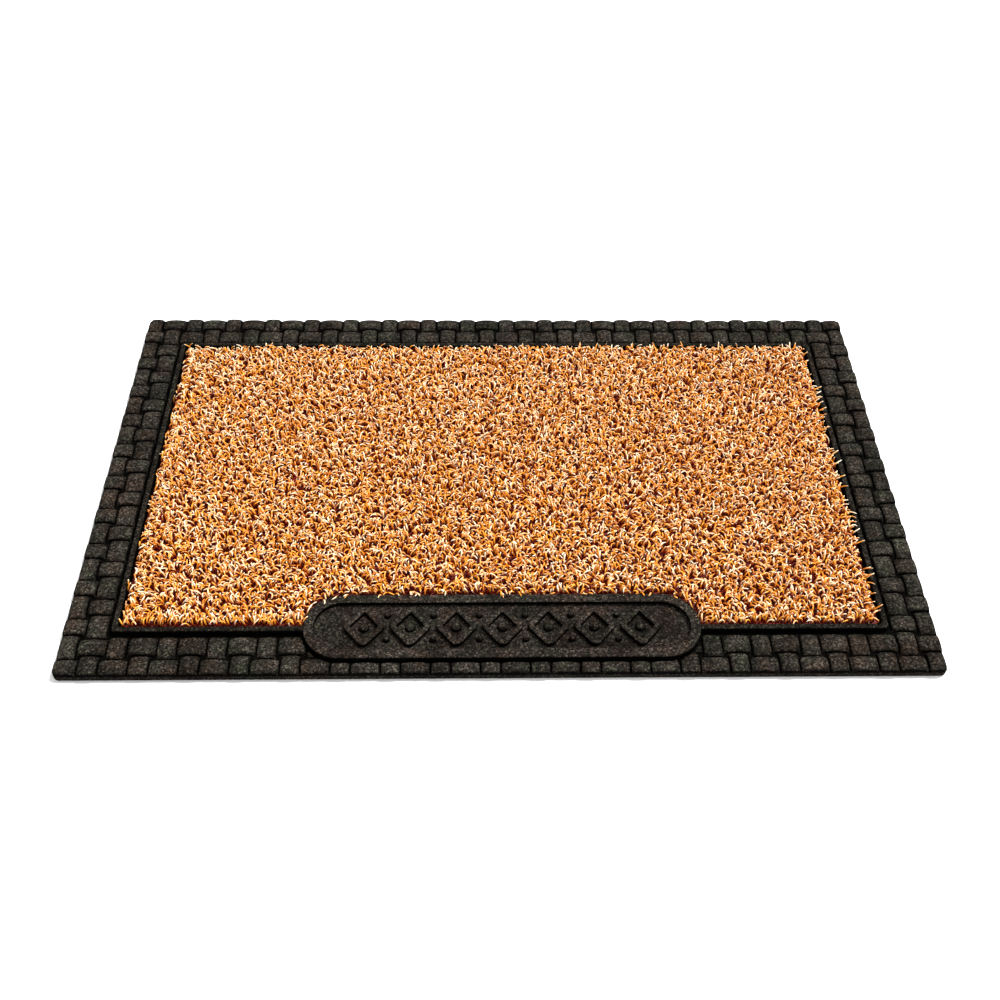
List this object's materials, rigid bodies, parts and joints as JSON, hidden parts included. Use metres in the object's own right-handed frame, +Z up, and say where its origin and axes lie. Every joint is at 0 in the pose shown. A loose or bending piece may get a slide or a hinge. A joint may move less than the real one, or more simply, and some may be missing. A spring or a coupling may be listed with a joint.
{
  "type": "door mat",
  "caption": "Rectangular door mat: moulded rubber base with a basket-woven border, a raised frame and a front cartouche, holding a glued-in tan turf insert.",
  "frame": {"origin": "on the floor under the centre of the mat's outline", "axes": "+X along the mat's length to the right as one reads the cartouche, +Y from the cartouche side towards the back edge, +Z up out of the pile"},
  "size_m": [0.762, 0.4572, 0.0185],
  "materials": {
    "rubber": "matt moulded crumb rubber, near black with a fine brown and grey speckle",
    "adhesive": "set film of cream adhesive, hidden under the insert",
    "turf_sheet": "moulded tan polyethylene sheet that the blades stand on",
    "turf_blades": "short curly tan polyethylene blades with a soft sheen"
  },
  "bodies": {
    "root": {"rubber_base": "rubber", "glue_bed": "adhesive", "turf_backing": "turf_sheet", "turf_pile": "turf_blades"}
  },
  "joints": []
}
